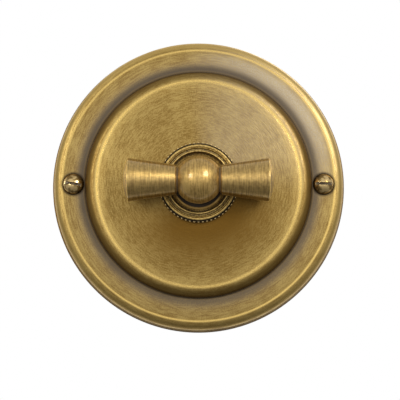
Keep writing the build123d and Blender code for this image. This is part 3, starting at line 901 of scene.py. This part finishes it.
def moulding():
    skin = Finish("moulded drum")
    swirl = skin.noise(2, detail=5, roughness=0.7)
    colour = skin.mix(swirl, (0.030, 0.017, 0.011), (0.085, 0.042, 0.024))
    return skin.shader(Base_Color=colour, Roughness=0.25 + swirl * 0.15, Normal=skin.bump(swirl, 0.01))


def fibre():
    skin = Finish("fibre disc")
    strands = skin.noise(1, skin.vector(skin.x / 0.25, skin.y / 0.2, skin.z / 2.5), detail=4)
    colour = skin.mix(strands, (0.30, 0.085, 0.045), (0.16, 0.045, 0.028))
    return skin.shader(Base_Color=colour, Roughness=0.55 + strands * 0.15,
                       Normal=skin.bump(strands, 0.02))


works |= {"porcelain": porcelain(), "fibre": fibre()}
paint(nodes["contact_drum"], moulding())
by_name = [part for part in frame["record"]["subparts"] if part["material_slot"] in works]
for part in by_name:
    paint(nodes[part["node"]], works[part["material_slot"]])
print("finished", len(by_name) + 1, "CAD nodes behind the plate, of", len(nodes), "in all")

# %% [markdown]
# ## The dark mouth of the bush
# Between the ball and the nut one looks down on the end of the threaded bush. It lies in the
# shade of the ball and the nut, so its front end is painted brown and its mouth nearly black:
# painted shade, with some tarnish, while its back end is clean brass like the rest. In the
# record it shares a finish name with the other plain brass pieces, so it is painted once
# more, with a finish of its own.

# %% The bush's brass
def bush_brass():
    skin = Turned("bush brass")
    patch = skin.noise(1.5, detail=3)
    # The front end is painted brown and the mouth nearly black: painted shade between the ball and the
    # nut, with some tarnish.
    front = 1 - skin.y.rise(disc_y, disc_y + 1.0)
    dirty = front * (1 - skin.radius.rise(thread_r - 0.7, thread_r - 0.4))
    colour = skin.mix(patch, PLAIN_BRASS, (0.50, 0.33, 0.13))
    colour = skin.mix(front * 0.9, colour, BRASS_BROWN)
    colour = skin.mix(dirty, colour, GRIME_AND_SHADE)
    return skin.shader(Base_Color=colour, Metallic=1.0 - dirty * 0.5, Roughness=0.3 + dirty * 0.3,
                       Normal=skin.bump(patch, 0.004))


paint(nodes["threaded_bush"], bush_brass())

# %% [markdown]
# ## Light, floor and camera
# The ball of the handle is a small mirror of the room in the photograph. It shows a bright
# lamp to the right, in front and above, a weaker one to the left, a broad soft glow between
# them, a dark lower half and, near its edge, the white behind. A plain white world would
# wash the brass out. So the world says what the mirror says: dark below, lighter above, a
# glow in front, and white behind, for every ray, so that polished edges show the white too.
# Only for the camera it is white all round.

# %% The world
ROOM_DARK = 0.17
ROOM_GREY = 0.42
GLOW = 0.55


def light_world():
    world = bpy.data.worlds.new("studio")
    world.use_nodes = True
    bpy.context.scene.world = world
    net = Net(world.node_tree)
    way = net.node("TexCoord", output=0)
    east, back, up_way = [net.node("SeparateXYZ", sockets={0: way}, output=k) for k in range(3)]
    room = ROOM_DARK + up_way.rise(-1.0, 0.1) * (1 - abs(east).rise(0.5, 1.0) * 0.4) * ROOM_GREY
    room = room + east.ring(0.1, 0.9) * up_way.ring(0.15, 0.5) * GLOW
    white = back.rise(0.1, 0.6).over(net.node("LightPath", output=0))
    level = room + white * (1 - room)
    shader = net.node("Background", sockets={"Color": (1, 1, 1, 1), "Strength": level})
    net.node("OutputWorld", sockets={"Surface": shader})


light_world()
print("room level %.2f below, %.2f above" % (ROOM_DARK, ROOM_DARK + ROOM_GREY))

# %% [markdown]
# ### The lamps
# Two square soft lamps give the two gleams on the ball, and a faint one behind lights the
# works. What a polished piece shows of a lamp is how bright its face is, not how much light
# it gives in all. So a lamp is described by that brightness, and its power follows from its
# size: a larger lamp then makes a broader gleam, not a brighter one.

# %% The lamps
def softbox(name, azimuth, elevation, distance, size, radiance):
    """A square soft lamp that looks at the switch; azimuth 0 is straight in front."""
    lamp = bpy.data.lights.new(name, "AREA")
    lamp.size = size
    lamp.energy = 4 * radiance * size ** 2
    place = Vector((sin(radians(azimuth)) * cos(radians(elevation)),
                    -cos(radians(azimuth)) * cos(radians(elevation)), sin(radians(elevation))))
    holder = bpy.data.objects.new(name, lamp)
    holder.location = place * distance
    holder.rotation_euler = place.to_track_quat("Z", "Y").to_euler()
    bpy.context.scene.collection.objects.link(holder)
    print(name, "gives %.2f W" % lamp.energy)


softbox("main light", 36, 21.5, 0.7, 0.24, 9.0)
softbox("left light", -38, 12.5, 0.7, 0.20, 7.5)
softbox("back light", 150, 35, 0.8, 0.4, 1.5)

# %% [markdown]
# ### The floor
# The switch sits on a wall, 1.2 m above the floor. A polished handle mirrors a floor as well
# as lamps, and the world already says what it mirrors below, so the floor is made for the
# camera alone: Light Path tells a camera ray from a mirrored one, which passes through. A
# little glow of its own lifts it close to the white behind, and shadows still fall on it.

# %% The floor
FLOOR_DROP = 1.2
FLOOR_SIZE = 12.0
FLOOR_GLOW = 0.32


def floor():
    builder = bmesh.new()
    bmesh.ops.create_grid(builder, x_segments=4, y_segments=4, size=FLOOR_SIZE / 2)
    piece = finish_mesh("floor", builder)
    piece.location = (0, 0, -FLOOR_DROP)
    skin = Finish("pale floor")
    tone = skin.noise(60, detail=2)
    pale = skin.node("BsdfPrincipled", sockets={
        "Base Color": skin.mix(tone, (0.86, 0.86, 0.86), (0.82, 0.82, 0.82)), "Roughness": 0.8,
        "Emission Color": (1, 1, 1, 1), "Emission Strength": FLOOR_GLOW})
    clear = skin.node("BsdfTransparent")
    seen = skin.node("LightPath", output=0)
    skin.node("OutputMaterial", sockets={
        "Surface": skin.node("MixShader", sockets={0: seen, 1: clear, 2: pale})})
    paint(piece, skin.material)
    print("floor %.0f m wide, %.1f m below the switch" % (FLOOR_SIZE, FLOOR_DROP))


floor()

# %% [markdown]
# ### The camera
# The photograph was taken from about 30 cm, nearly straight in front and a little below. The
# distance matters more than the lens: it decides how far the handle, which stands nearer,
# moves against the plate behind it. So the place was found first, from how the rings lie in
# each other, and the lens only scales the picture.

# %% The camera
LENS = 92.1
CAMERA_PLACE = Vector((0, -0.2983, -0.0322))
AIM = Vector((0.00044, 0, -0.00395))


def set_camera():
    data = bpy.data.cameras.new("camera")
    data.lens = LENS
    data.clip_start = 0.01
    camera = bpy.data.objects.new("camera", data)
    camera.location = CAMERA_PLACE
    camera.rotation_euler = (AIM - CAMERA_PLACE).to_track_quat("-Z", "Y").to_euler()
    bpy.context.scene.collection.objects.link(camera)
    bpy.context.scene.camera = camera
    bpy.context.scene.view_settings.view_transform = "Standard"
    print("camera at", list(camera.location))


set_camera()
